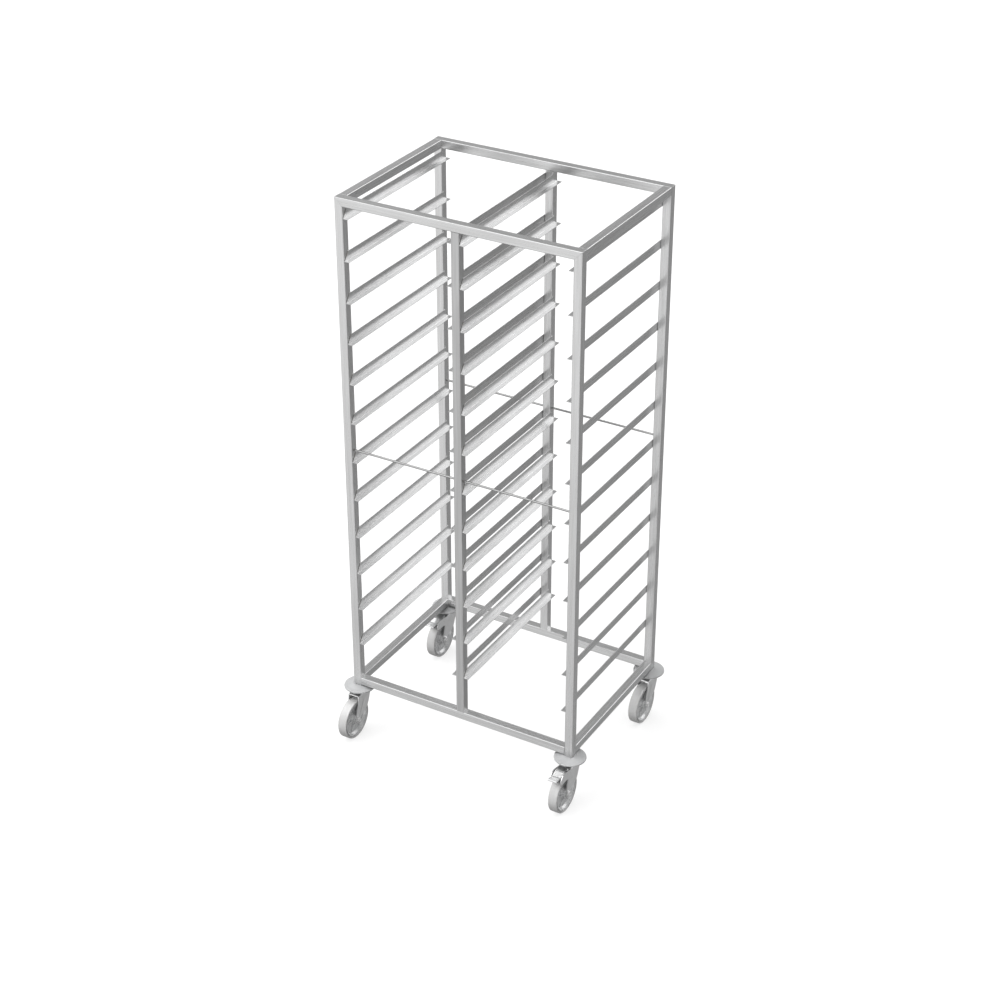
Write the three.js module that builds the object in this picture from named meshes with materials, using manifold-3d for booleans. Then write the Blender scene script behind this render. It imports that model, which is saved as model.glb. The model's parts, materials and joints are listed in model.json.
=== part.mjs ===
// Two-bay tray rack on four swivel casters: welded square-tube frame, twelve levels of
// L-shaped tray runners in each bay, two tie rods, and casters of which two have a brake.
// Millimetres, +Z up, +X to the right, +Y to the back. The origin is on the floor, at the
// centre of the whole object's box.

import * as THREE from 'three';
import { mergeVertices } from 'three/addons/utils/BufferGeometryUtils.js';
import Module from 'manifold-3d';

const wasm = await Module();
wasm.setup();

// ---------------------------------------------------------------- driving dimensions

// Frame, measured over its square tubes.
const FRAME_WIDTH = 745;
const FRAME_DEPTH = 530;
const FRAME_HEIGHT = 1564;
const TUBE = 25;
const TUBE_WALL = 1.2;
const TUBE_CORNER = 2;
const JOINT_GAP = 0.3;

// The lower rails sit just above the post ends.
const LOWER_RAIL_RISE = 3.5;

// Tray runners: an L of bent sheet, web upright against the posts, flange at the bottom.
const LEVELS = 12;
const LEVEL_PITCH = 123.1;
const FIRST_RUNNER_TOP = 176.6;
const RUNNER_WEB = 26.5;
const RUNNER_FLANGE = 15;
const RUNNER_SHEET = 1.5;
const RUNNER_BEND = 1;
const RUNNER_SETBACK = 2;
const RUNNER_SLANT = 17;
const WELD_BITE = 0.15;

// Tie rods that cross the front and the back.
const ROD_RADIUS = 3;
const ROD_HEIGHT = 802.5;
const ROD_HOLE = ROD_RADIUS + JOINT_GAP;

// Casters. Heights are below the post ends; Y runs from the swivel axis.
const CASTER_HEIGHT = 166;
const WHEEL_RADIUS = 62.5;
const TRAIL = 43;
const AXLE_DROP = CASTER_HEIGHT - WHEEL_RADIUS;
const TYRE_HALF_WIDTH = 14.8;
const TYRE_SEAT = 55;
const TYRE_SHOULDER = 3.2;
const BUMPER_RADIUS = 47.5;
const BUMPER_THICKNESS = 10;
const BUMPER_RIM = 5;
const RACE_RADIUS = 26;
const RACE_BOTTOM = 17;
const CROWN_TOP = 24;
const FORK_SHEET = 3;
const FORK_HALF_WIDTH = 19;
const FORK_CORNER = 4;
const FORK_BACK = 28;
const FORK_FRONT = -37;
const BRAKED_CROWN_FRONT = -34;
const LEG_END_RADIUS = 11;
const AXLE_RADIUS = 5;
const KING_RADIUS = 6;
const INSERT_WIDTH = TUBE - 2 * TUBE_WALL - 2 * JOINT_GAP;
const INSERT_HEIGHT = 45;

// Brake: a bent pedal on a pin between the fork's cheeks.
const PEDAL_REACH = 107;
const PEDAL_HALF_WIDTH = 14;
const PEDAL_SHEET = 2.5;
const BRAKE_PIN = { y: -50, drop: 32, radius: 3 };

// Fineness of round shapes.
const WHEEL_SEGMENTS = 24;
const RACE_SEGMENTS = 16;
const SMALL_SEGMENTS = 12;

// Places that follow from the dimensions above.
const POST_CENTRE = TUBE / 2;
const FRONT_LIMIT = POST_CENTRE - PEDAL_REACH;
const BACK_LIMIT = FRAME_DEPTH - POST_CENTRE + BUMPER_RADIUS;
const MIDDLE_X = FRAME_WIDTH / 2;
const MIDDLE_Y = (FRONT_LIMIT + BACK_LIMIT) / 2;

// ---------------------------------------------------------------- materials

function finish(color, metalness, roughness) {
  return new THREE.MeshStandardMaterial({ color, metalness, roughness });
}

const STAINLESS = finish(0xc4c5c8, 0.9, 0.35);
const BRIGHT_ROD = finish(0xd6d7da, 1.0, 0.22);
const ZINC = finish(0xb6b9bd, 0.9, 0.3);
const GREY_RUBBER = finish(0xa7a8aa, 0.0, 0.75);
const GREY_PLASTIC = finish(0x9a9b9e, 0.0, 0.5);

// ---------------------------------------------------------------- solid building

function solidOf(geometry) {
  const bare = geometry.clone();
  bare.deleteAttribute('normal');
  bare.deleteAttribute('uv');
  const merged = mergeVertices(bare, 1e-5);
  return new wasm.Manifold(new wasm.Mesh({
    numProp: 3,
    vertProperties: new Float32Array(merged.attributes.position.array),
    triVerts: new Uint32Array(merged.index.array),
  }));
}

function geometryOf(solid) {
  const mesh = solid.getMesh();
  const geometry = new THREE.BufferGeometry();
  geometry.setAttribute('position', new THREE.BufferAttribute(mesh.vertProperties, 3));
  geometry.setIndex(new THREE.BufferAttribute(mesh.triVerts, 1));
  geometry.computeVertexNormals();
  return geometry;
}

function join(solids) {
  return solids.reduce((whole, piece) => whole.add(piece));
}

function cut(solid, tools) {
  return tools.reduce((rest, tool) => rest.subtract(tool), solid);
}

// The shape's first and second axes and the extrusion axis, for each direction of extrusion.
const AXES = {
  x: [new THREE.Vector3(0, 1, 0), new THREE.Vector3(0, 0, 1), new THREE.Vector3(1, 0, 0)],
  y: [new THREE.Vector3(1, 0, 0), new THREE.Vector3(0, 0, 1), new THREE.Vector3(0, -1, 0)],
  z: [new THREE.Vector3(1, 0, 0), new THREE.Vector3(0, 1, 0), new THREE.Vector3(0, 0, 1)],
};

// Extrudes a shape along an axis, from low to high on that axis.
function prism(shape, axis, low, high, curveSegments = 3) {
  const depth = high - low;
  const geometry = new THREE.ExtrudeGeometry(shape, { depth, curveSegments, bevelEnabled: false });
  geometry.applyMatrix4(new THREE.Matrix4().makeBasis(...AXES[axis]));
  const start = axis === 'y' ? -high : low;
  geometry.translate(...AXES[axis][2].clone().multiplyScalar(start).toArray());
  return solidOf(geometry);
}

function polygon(points) {
  return new THREE.Shape(points.map(([u, v]) => new THREE.Vector2(u, v)));
}

function roundedRectangle(path, u0, v0, u1, v1, radius) {
  path.moveTo(u0 + radius, v0);
  path.lineTo(u1 - radius, v0);
  path.absarc(u1 - radius, v0 + radius, radius, -Math.PI / 2, 0);
  path.lineTo(u1, v1 - radius);
  path.absarc(u1 - radius, v1 - radius, radius, 0, Math.PI / 2);
  path.lineTo(u0 + radius, v1);
  path.absarc(u0 + radius, v1 - radius, radius, Math.PI / 2, Math.PI);
  path.lineTo(u0, v0 + radius);
  path.absarc(u0 + radius, v0 + radius, radius, Math.PI, Math.PI * 1.5);
  return path;
}

// A hollow rectangular tube with open ends; (u, v) is the corner of its section.
function tube(axis, u, v, width, height, low, high) {
  const shape = roundedRectangle(new THREE.Shape(), u, v, u + width, v + height, TUBE_CORNER);
  const inside = [u + TUBE_WALL, v + TUBE_WALL, u + width - TUBE_WALL, v + height - TUBE_WALL];
  shape.holes.push(roundedRectangle(new THREE.Path(), ...inside, TUBE_CORNER - TUBE_WALL));
  return prism(shape, axis, low, high, 2);
}

function box(x0, x1, y0, y1, z0, z1) {
  const geometry = new THREE.BoxGeometry(x1 - x0, y1 - y0, z1 - z0);
  geometry.translate((x0 + x1) / 2, (y0 + y1) / 2, (z0 + z1) / 2);
  return solidOf(geometry);
}

function cylinderX(radius, x0, x1, y, z, segments = SMALL_SEGMENTS) {
  const geometry = new THREE.CylinderGeometry(radius, radius, x1 - x0, segments);
  geometry.rotateZ(-Math.PI / 2);
  geometry.translate((x0 + x1) / 2, y, z);
  return solidOf(geometry);
}

function cylinderZ(radius, z0, z1, segments = SMALL_SEGMENTS) {
  const geometry = new THREE.CylinderGeometry(radius, radius, z1 - z0, segments);
  geometry.rotateX(Math.PI / 2);
  geometry.translate(0, 0, (z0 + z1) / 2);
  return solidOf(geometry);
}

// Turns a profile of [radius, height] points around the Z axis.
function turned(profile, segments) {
  const points = profile.map(([radius, height]) => new THREE.Vector2(radius, height));
  const geometry = new THREE.LatheGeometry(points, segments);
  geometry.rotateX(Math.PI / 2);
  return solidOf(geometry);
}

// Turns a profile of [radius, offset] points around the X axis, with a flat facet at the
// bottom: the radii are those of the facets' middles.
function turnedAxle(profile, segments) {
  const reach = 1 / Math.cos(Math.PI / segments);
  const points = profile.map(([radius, offset]) => new THREE.Vector2(radius * reach, offset));
  const geometry = new THREE.LatheGeometry(points, segments);
  geometry.rotateY(Math.PI / segments);
  geometry.rotateZ(-Math.PI / 2);
  return solidOf(geometry);
}

// ---------------------------------------------------------------- the group

const rack = new THREE.Group();

function addTo(group, name, solid, material) {
  const mesh = new THREE.Mesh(geometryOf(solid), material);
  mesh.name = name;
  group.add(mesh);
}

// ---------------------------------------------------------------- frame

// Everything below is drawn from the frame's front left lower corner; this group moves it.
const frame = new THREE.Group();
frame.position.set(-MIDDLE_X, -MIDDLE_Y, CASTER_HEIGHT);
rack.add(frame);

const MITRE_ROOM = JOINT_GAP * Math.SQRT1_2;

// The triangle that a mitre takes off the top of a corner post, or off the end of a rail.
// side is +1 at the left end of the rack and -1 at the right end.
function mitreTool(side, keepsPost) {
  const outer = side > 0 ? 0 : FRAME_WIDTH;
  const up = keepsPost ? 1 : -1;
  const shift = -up * MITRE_ROOM;
  const reach = TUBE + 5;
  const high = FRAME_HEIGHT + shift;
  const points = [
    [outer - side * 5, high + 5],
    [outer + side * reach, high - reach],
    keepsPost ? [outer + side * reach, high + reach] : [outer - side * 5, high - reach],
  ];
  return prism(polygon(points), 'y', -5, FRAME_DEPTH + 5);
}

function rodHole(x) {
  const holes = [POST_CENTRE, FRAME_DEPTH - POST_CENTRE];
  return holes.map((y) => cylinderX(ROD_HOLE, x - TUBE / 2, x + TUBE / 2, y, ROD_HEIGHT));
}

function postPair(x, bottom, top) {
  const rows = [0, FRAME_DEPTH - TUBE];
  return rows.map((y) => tube('z', x, y, TUBE, TUBE, bottom, top));
}

// One L-shaped runner. face is the X of the post face it is welded to, side the way it points.
function runner(face, side, top) {
  const back = face - side * WELD_BITE;
  const across = (distance) => back + side * distance;
  const low = top - RUNNER_WEB;
  const outerBend = RUNNER_BEND + RUNNER_SHEET;
  const web = RUNNER_SHEET;
  const tip = RUNNER_FLANGE + WELD_BITE;
  const diagonal = 1 - Math.SQRT1_2;
  const outline = polygon([
    [across(0), top],
    [across(0), low + outerBend],
    [across(outerBend * diagonal), low + outerBend * diagonal],
    [across(outerBend), low],
    [across(tip), low],
    [across(tip), low + web],
    [across(outerBend), low + web],
    [across(web + RUNNER_BEND * diagonal), low + web + RUNNER_BEND * diagonal],
    [across(web), low + outerBend],
    [across(web), top],
  ]);
  const front = RUNNER_SETBACK;
  const rear = FRAME_DEPTH - RUNNER_SETBACK;
  const ends = [
    slantTool(face, front, 1, low + outerBend, top),
    slantTool(face, rear, -1, low + outerBend, top),
  ];
  return cut(prism(outline, 'y', front, rear), ends);
}

// Cuts the end of a runner's web on a slant, from its bend up to its top edge.
// inward is the way from that end to the runner's middle.
function slantTool(face, y, inward, low, top) {
  const outline = polygon([
    [y - inward, low],
    [y, low],
    [y + inward * RUNNER_SLANT, top],
    [y + inward * RUNNER_SLANT, top + 1],
    [y - inward, top + 1],
  ]);
  return prism(outline, 'x', face - 5, face + 5);
}

function runnerColumn(face, side) {
  const levels = Array.from({ length: LEVELS }, (_, level) => level);
  return levels.map((level) => runner(face, side, FIRST_RUNNER_TOP + level * LEVEL_PITCH));
}

// A welded ladder: two corner posts and the runners between them.
function cornerLadder(x, side) {
  const face = side > 0 ? x + TUBE : x;
  const posts = postPair(x, 0, FRAME_HEIGHT);
  const inner = rodHole(face);
  const mitred = posts.map((post) => cut(post, [mitreTool(side, true), ...inner]));
  return join([...mitred, ...runnerColumn(face, side)]);
}

function middleLadder() {
  const x = MIDDLE_X - TUBE / 2;
  const bottom = LOWER_RAIL_RISE + TUBE + JOINT_GAP;
  const top = FRAME_HEIGHT - TUBE - JOINT_GAP;
  const holes = [...rodHole(x), ...rodHole(x + TUBE)];
  const posts = postPair(x, bottom, top).map((post) => cut(post, holes));
  return join([...posts, ...runnerColumn(x, -1), ...runnerColumn(x + TUBE, 1)]);
}

function buildLadders() {
  addTo(frame, 'left_runner_ladder', cornerLadder(0, 1), STAINLESS);
  addTo(frame, 'middle_runner_ladder', middleLadder(), STAINLESS);
  addTo(frame, 'right_runner_ladder', cornerLadder(FRAME_WIDTH - TUBE, -1), STAINLESS);
}

function buildRails() {
  const mitres = [mitreTool(1, false), mitreTool(-1, false)];
  const inner = TUBE + JOINT_GAP;
  for (const [row, y] of [['front', 0], ['rear', FRAME_DEPTH - TUBE]]) {
    const upper = tubeAlongX(y, FRAME_HEIGHT - TUBE, 0, FRAME_WIDTH);
    const lower = tubeAlongX(y, LOWER_RAIL_RISE, inner, FRAME_WIDTH - inner);
    addTo(frame, `top_${row}_rail`, cut(upper, mitres), STAINLESS);
    addTo(frame, `bottom_${row}_rail`, lower, STAINLESS);
  }
  for (const [side, x] of [['left', 0], ['right', FRAME_WIDTH - TUBE]]) {
    const span = [inner, FRAME_DEPTH - inner];
    const upper = tube('y', x, FRAME_HEIGHT - TUBE, TUBE, TUBE, ...span);
    const lower = tube('y', x, LOWER_RAIL_RISE, TUBE, TUBE, ...span);
    addTo(frame, `top_${side}_rail`, upper, STAINLESS);
    addTo(frame, `bottom_${side}_rail`, lower, STAINLESS);
  }
}

function tubeAlongX(y, z, x0, x1) {
  return tube('x', y, z, TUBE, TUBE, x0, x1);
}

// The rods end inside the corner posts and pass through the middle posts.
function buildTieRods() {
  const end = TUBE_WALL + JOINT_GAP;
  for (const [row, y] of [['front', POST_CENTRE], ['rear', FRAME_DEPTH - POST_CENTRE]]) {
    const rod = cylinderX(ROD_RADIUS, end, FRAME_WIDTH - end, y, ROD_HEIGHT);
    addTo(frame, `${row}_tie_rod`, rod, BRIGHT_ROD);
  }
}

// ---------------------------------------------------------------- casters

// Caster pieces are drawn from the swivel axis at the post's end, wheel trailing to -Y.

const KING_HOLE = KING_RADIUS + JOINT_GAP;
const AXLE_HOLE = AXLE_RADIUS + JOINT_GAP;

function postInsert() {
  const half = INSERT_WIDTH / 2;
  const block = roundedRectangle(new THREE.Shape(), -half, -half, half, half, 1);
  return cut(prism(block, 'z', 0, INSERT_HEIGHT, 1), [cylinderZ(KING_HOLE, -1, INSERT_HEIGHT + 1)]);
}

function bumperDisc() {
  const top = -JOINT_GAP;
  return turned([
    [KING_HOLE, top],
    [KING_HOLE, -BUMPER_THICKNESS],
    [BUMPER_RADIUS - 1, -BUMPER_THICKNESS],
    [BUMPER_RADIUS, -BUMPER_THICKNESS + 1],
    [BUMPER_RADIUS, -BUMPER_RIM],
    [BUMPER_RADIUS - 4, -BUMPER_RIM + 2.2],
    [TUBE * 0.8, top],
    [KING_HOLE, top],
  ], WHEEL_SEGMENTS);
}

function kingBolt() {
  const headTop = -CROWN_TOP - FORK_SHEET - JOINT_GAP;
  return turned([
    [0, headTop - 4],
    [8, headTop - 4],
    [10, headTop - 2],
    [10, headTop],
    [KING_RADIUS, headTop],
    [KING_RADIUS, INSERT_HEIGHT - 3],
    [KING_RADIUS - 1, INSERT_HEIGHT - 2],
    [0, INSERT_HEIGHT - 2],
  ], SMALL_SEGMENTS);
}

function upperRace() {
  const top = -BUMPER_THICKNESS - JOINT_GAP;
  return turned([
    [KING_HOLE, top],
    [KING_HOLE, -RACE_BOTTOM],
    [RACE_RADIUS - 1.5, -RACE_BOTTOM],
    [RACE_RADIUS, -RACE_BOTTOM + 1.5],
    [RACE_RADIUS, top - 1.5],
    [RACE_RADIUS - 3, top],
    [KING_HOLE, top],
  ], RACE_SEGMENTS);
}

// Side outline of the fork's legs, in Y and Z: wide under the crown, round at the axle.
function legOutline(front) {
  const shape = new THREE.Shape();
  shape.moveTo(front, -CROWN_TOP);
  shape.lineTo(front, -CROWN_TOP - FORK_SHEET - 4);
  shape.lineTo(FORK_FRONT - 3, -50);
  shape.lineTo(-TRAIL - LEG_END_RADIUS, -AXLE_DROP);
  shape.absarc(-TRAIL, -AXLE_DROP, LEG_END_RADIUS, Math.PI, Math.PI * 2);
  shape.quadraticCurveTo(-TRAIL + LEG_END_RADIUS + 3, -98, -14, -95);
  shape.quadraticCurveTo(12, -88, 15, -66);
  shape.lineTo(FORK_BACK - 4, -46);
  shape.lineTo(FORK_BACK, -CROWN_TOP - 6);
  shape.lineTo(FORK_BACK, -CROWN_TOP);
  return shape;
}

// One bent sheet seen along Y: a crown with a leg down each side.
function channelOutline() {
  const half = FORK_HALF_WIDTH;
  const low = -AXLE_DROP - LEG_END_RADIUS - 5;
  const sheet = FORK_SHEET;
  const shape = new THREE.Shape();
  shape.moveTo(-half, low);
  shape.lineTo(-half, -CROWN_TOP - FORK_CORNER);
  shape.absarc(-half + FORK_CORNER, -CROWN_TOP - FORK_CORNER, FORK_CORNER, Math.PI, Math.PI / 2, true);
  shape.lineTo(half - FORK_CORNER, -CROWN_TOP);
  shape.absarc(half - FORK_CORNER, -CROWN_TOP - FORK_CORNER, FORK_CORNER, Math.PI / 2, 0, true);
  shape.lineTo(half, low);
  shape.lineTo(half - sheet, low);
  shape.lineTo(half - sheet, -CROWN_TOP - FORK_CORNER);
  shape.lineTo(half - FORK_CORNER, -CROWN_TOP - sheet);
  shape.lineTo(-half + FORK_CORNER, -CROWN_TOP - sheet);
  shape.lineTo(-half + sheet, -CROWN_TOP - FORK_CORNER);
  shape.lineTo(-half + sheet, low);
  return shape;
}

// The forward cheeks that carry a brake pedal's pin.
function brakeCheeks() {
  const outline = polygon([
    [-10, -CROWN_TOP - FORK_CORNER],
    [-26, -CROWN_TOP - 2],
    [-66, -18],
    [-75, -20],
    [-88, -33],
    [-83, -48],
    [-50, -49],
    [-36, -56],
    [-10, -50],
  ]);
  const outer = FORK_HALF_WIDTH;
  const inner = outer - FORK_SHEET;
  return [prism(outline, 'x', inner, outer), prism(outline, 'x', -outer, -inner)];
}

function casterFork(braked) {
  const front = braked ? BRAKED_CROWN_FRONT : FORK_FRONT;
  const wide = FORK_HALF_WIDTH + 5;
  const channel = prism(channelOutline(), 'y', -PEDAL_REACH, FORK_BACK + 5);
  const body = channel.intersect(prism(legOutline(front), 'x', -wide, wide, 4));
  const raceRing = cylinderZ(RACE_RADIUS - 3, -CROWN_TOP - 1, -RACE_BOTTOM - JOINT_GAP, RACE_SEGMENTS);
  const holes = [
    cylinderZ(KING_HOLE, -CROWN_TOP - 20, 0),
    cylinderX(AXLE_HOLE, -wide, wide, -TRAIL, -AXLE_DROP),
  ];
  if (!braked) {
    return cut(join([body, raceRing]), holes);
  }
  holes.push(cylinderX(BRAKE_PIN.radius + JOINT_GAP, -wide, wide, BRAKE_PIN.y, -BRAKE_PIN.drop));
  return cut(join([body, raceRing, ...brakeCheeks()]), holes);
}

function axleBolt() {
  const headStart = FORK_HALF_WIDTH + JOINT_GAP;
  const head = cylinderX(8, headStart, headStart + 3.2, -TRAIL, -AXLE_DROP, 6);
  const shank = cylinderX(AXLE_RADIUS, -headStart - 6, headStart + 1, -TRAIL, -AXLE_DROP);
  return join([head, shank]);
}

function axleNut() {
  const start = FORK_HALF_WIDTH + JOINT_GAP;
  const body = cylinderX(8, -start - 5, -start, -TRAIL, -AXLE_DROP, 6);
  return cut(body, [cylinderX(AXLE_HOLE, -40, 0, -TRAIL, -AXLE_DROP)]);
}

function tyre() {
  const half = TYRE_HALF_WIDTH;
  const seat = TYRE_SEAT + JOINT_GAP;
  const shoulder = TYRE_SHOULDER;
  const round = shoulder * (1 - Math.SQRT1_2);
  return turnedAxle([
    [seat, half],
    [WHEEL_RADIUS - shoulder, half],
    [WHEEL_RADIUS - round, half - round],
    [WHEEL_RADIUS, half - shoulder],
    [WHEEL_RADIUS, shoulder - half],
    [WHEEL_RADIUS - round, round - half],
    [WHEEL_RADIUS - shoulder, -half],
    [seat, -half],
    [seat, half],
  ].reverse(), WHEEL_SEGMENTS);
}

function wheelRim() {
  const edge = TYRE_HALF_WIDTH - 1;
  const lip = TYRE_SEAT - 3.5;
  const boss = FORK_HALF_WIDTH - FORK_SHEET - JOINT_GAP - 0.2;
  const bore = AXLE_HOLE + 3 + JOINT_GAP;
  return turnedAxle([
    [bore, boss],
    [bore, -boss],
    [15, -boss],
    [17, -4],
    [lip - 3, -4],
    [lip, -edge],
    [TYRE_SEAT, -edge],
    [TYRE_SEAT, edge],
    [lip, edge],
    [lip - 3, 4],
    [17, 4],
    [15, boss],
    [bore, boss],
  ], WHEEL_SEGMENTS);
}

function wheelBush() {
  const half = FORK_HALF_WIDTH - FORK_SHEET - JOINT_GAP;
  const outer = AXLE_HOLE + 3;
  return turnedAxle([
    [AXLE_HOLE, half],
    [AXLE_HOLE, -half],
    [outer, -half],
    [outer, half],
    [AXLE_HOLE, half],
  ], SMALL_SEGMENTS);
}

// The pedal's bent sheet in Y and Z, its two ears around the pin, and the shoe over the tread.
function brakePedal() {
  const sheet = PEDAL_SHEET;
  const half = PEDAL_HALF_WIDTH;
  const plate = polygon([
    [-36, -19],
    [-64, -19],
    [-82, -26],
    [-PEDAL_REACH, -24],
    [-PEDAL_REACH, -30],
    [-PEDAL_REACH + sheet, -30],
    [-PEDAL_REACH + sheet, -24 - sheet],
    [-82, -26 - sheet],
    [-65, -19 - sheet],
    [-36, -19 - sheet],
  ]);
  const ear = polygon([
    [-42, -20],
    [-66, -20],
    [-82, -28],
    [-82, -34],
    [-56, -38],
    [-46, -38],
    [-42, -32],
  ]);
  const shoe = polygon([
    [-62, -30],
    [-82, -33],
    [-80, -42],
    [-64, -38],
  ]);
  const pedal = join([
    prism(plate, 'x', -half, half),
    prism(ear, 'x', half - sheet, half),
    prism(ear, 'x', -half, sheet - half),
    prism(shoe, 'x', 1 - half, half - 1),
  ]);
  const room = BRAKE_PIN.radius + JOINT_GAP;
  return cut(pedal, [cylinderX(room, -half - 1, half + 1, BRAKE_PIN.y, -BRAKE_PIN.drop)]);
}

function brakePin() {
  const end = FORK_HALF_WIDTH + 1;
  return cylinderX(BRAKE_PIN.radius, -end, end, BRAKE_PIN.y, -BRAKE_PIN.drop);
}

// Moves a wheel piece, drawn around its own axle, to the axle's place.
function atAxle(solid) {
  return solid.translate([0, -TRAIL, -AXLE_DROP]);
}

function buildCaster(place, x, y, braked) {
  const caster = new THREE.Group();
  caster.position.set(x, y, 0);
  frame.add(caster);
  addTo(caster, `${place}_post_insert`, postInsert(), ZINC);
  addTo(caster, `${place}_bumper_disc`, bumperDisc(), GREY_PLASTIC);
  addTo(caster, `${place}_king_bolt`, kingBolt(), ZINC);
  addTo(caster, `${place}_upper_race`, upperRace(), ZINC);
  addTo(caster, `${place}_fork`, casterFork(braked), ZINC);
  addTo(caster, `${place}_axle_bolt`, axleBolt(), ZINC);
  addTo(caster, `${place}_axle_nut`, axleNut(), ZINC);
  addTo(caster, `${place}_tyre`, atAxle(tyre()), GREY_RUBBER);
  addTo(caster, `${place}_wheel_rim`, atAxle(wheelRim()), GREY_PLASTIC);
  addTo(caster, `${place}_wheel_bush`, atAxle(wheelBush()), ZINC);
  if (braked) {
    addTo(caster, `${place}_brake_pedal`, brakePedal(), ZINC);
    addTo(caster, `${place}_brake_pin`, brakePin(), ZINC);
  }
}

buildLadders();
buildRails();
buildTieRods();

const FAR_X = FRAME_WIDTH - POST_CENTRE;
const FAR_Y = FRAME_DEPTH - POST_CENTRE;
buildCaster('front_left', POST_CENTRE, POST_CENTRE, false);
buildCaster('front_right', FAR_X, POST_CENTRE, true);
buildCaster('rear_left', POST_CENTRE, FAR_Y, true);
buildCaster('rear_right', FAR_X, FAR_Y, false);

export default rack;
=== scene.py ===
"""Two-bay tray rack on casters: the looks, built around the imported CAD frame."""

import json
import math

import bpy
import bmesh
from mathutils import Matrix, Vector

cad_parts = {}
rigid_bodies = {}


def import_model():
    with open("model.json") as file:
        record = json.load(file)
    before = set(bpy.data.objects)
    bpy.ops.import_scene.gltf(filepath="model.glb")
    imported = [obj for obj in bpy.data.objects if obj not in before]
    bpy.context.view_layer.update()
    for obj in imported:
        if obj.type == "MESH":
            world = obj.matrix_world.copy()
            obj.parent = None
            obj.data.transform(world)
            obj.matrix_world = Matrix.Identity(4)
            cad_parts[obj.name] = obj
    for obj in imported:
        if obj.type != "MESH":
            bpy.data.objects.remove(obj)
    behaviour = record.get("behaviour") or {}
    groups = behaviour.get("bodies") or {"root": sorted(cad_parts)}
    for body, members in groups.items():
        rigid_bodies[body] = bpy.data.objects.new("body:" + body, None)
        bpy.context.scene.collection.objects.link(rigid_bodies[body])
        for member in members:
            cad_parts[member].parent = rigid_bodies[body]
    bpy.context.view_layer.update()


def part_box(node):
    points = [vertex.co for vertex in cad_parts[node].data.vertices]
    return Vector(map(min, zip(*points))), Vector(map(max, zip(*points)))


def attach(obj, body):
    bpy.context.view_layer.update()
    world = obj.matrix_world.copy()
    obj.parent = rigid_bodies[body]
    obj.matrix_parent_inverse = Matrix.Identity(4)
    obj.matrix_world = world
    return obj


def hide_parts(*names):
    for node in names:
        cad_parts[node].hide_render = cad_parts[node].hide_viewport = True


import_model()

MM = 0.001

# ---------------------------------------------------------------- places read from the frame

LADDER_LOW, LADDER_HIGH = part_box("left_runner_ladder")
RIGHT_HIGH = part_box("right_runner_ladder")[1]
LOWER_RAIL_LOW, LOWER_RAIL_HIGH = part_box("bottom_front_rail")
TOP_RAIL_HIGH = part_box("top_front_rail")[1]
ROD_LOW, ROD_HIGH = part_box("front_tie_rod")

CORNER = Vector((LADDER_LOW.x, LADDER_LOW.y, LADDER_LOW.z))
WIDTH = (RIGHT_HIGH.x - LADDER_LOW.x) / MM
DEPTH = (LADDER_HIGH.y - LADDER_LOW.y) / MM
HEIGHT = (TOP_RAIL_HIGH.z - LADDER_LOW.z) / MM
TUBE = (LOWER_RAIL_HIGH.z - LOWER_RAIL_LOW.z) / MM
RAIL_RISE = (LOWER_RAIL_LOW.z - LADDER_LOW.z) / MM
ROD_HEIGHT = (ROD_LOW.z + ROD_HIGH.z) / 2 / MM - LADDER_LOW.z / MM
ROD_RADIUS = (ROD_HIGH.z - ROD_LOW.z) / 2 / MM
POST_CENTRE = TUBE / 2

# ---------------------------------------------------------------- driving dimensions, in mm

TUBE_WALL = 1.2
TUBE_CORNER = 2.0
JOINT_GAP = 0.3

LEVELS = 12
LEVEL_PITCH = 123.1
FIRST_RUNNER_TOP = 176.6
RUNNER_WEB = 26.5
RUNNER_FLANGE = 15.0
RUNNER_SHEET = 1.5
RUNNER_BEND = 1.0
RUNNER_SETBACK = 2.0
RUNNER_SLANT = 17.0

CASTER_HEIGHT = CORNER.z / MM
WHEEL_RADIUS = 62.5
TRAIL = 43.0
AXLE_DROP = CASTER_HEIGHT - WHEEL_RADIUS
TYRE_HALF = 14.8
TYRE_SEAT = 55.0
RIM_RIBS = 6
BUMPER_RADIUS = 47.5
BUMPER_HUB = 27.0
CROWN_TOP = 24.0
FORK_SHEET = 3.0
FORK_HALF = 19.0
FORK_CORNER = 4.0
FORK_BACK = 28.0
FORK_FRONT = -37.0
KNEE_FRONT = -40.0
KNEE_HEIGHT = -50.0
BRAKED_CROWN_FRONT = -34.0
LEG_END = 11.0
KING_RADIUS = 6.0
PEDAL_REACH = 107.0
PEDAL_HALF = 14.0
PEDAL_SHEET = 2.5
PIN_Y = -50.0
PIN_DROP = 32.0
GRIP_BARS = 4
GRIP_START = -88.0
GRIP_PITCH = 4.2
WELD_RADIUS = 0.9

# Gaps that keep pieces welded to each other from touching.
MITRE_ROOM = 0.02
SEAM = 0.05

# Each caster: its place's name, the post's centre in the frame, and whether it has a brake.
CASTERS = [
    ("front_left", POST_CENTRE, POST_CENTRE, False),
    ("front_right", WIDTH - POST_CENTRE, POST_CENTRE, True),
    ("rear_left", POST_CENTRE, DEPTH - POST_CENTRE, True),
    ("rear_right", WIDTH - POST_CENTRE, DEPTH - POST_CENTRE, False),
]

# ---------------------------------------------------------------- materials


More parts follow.
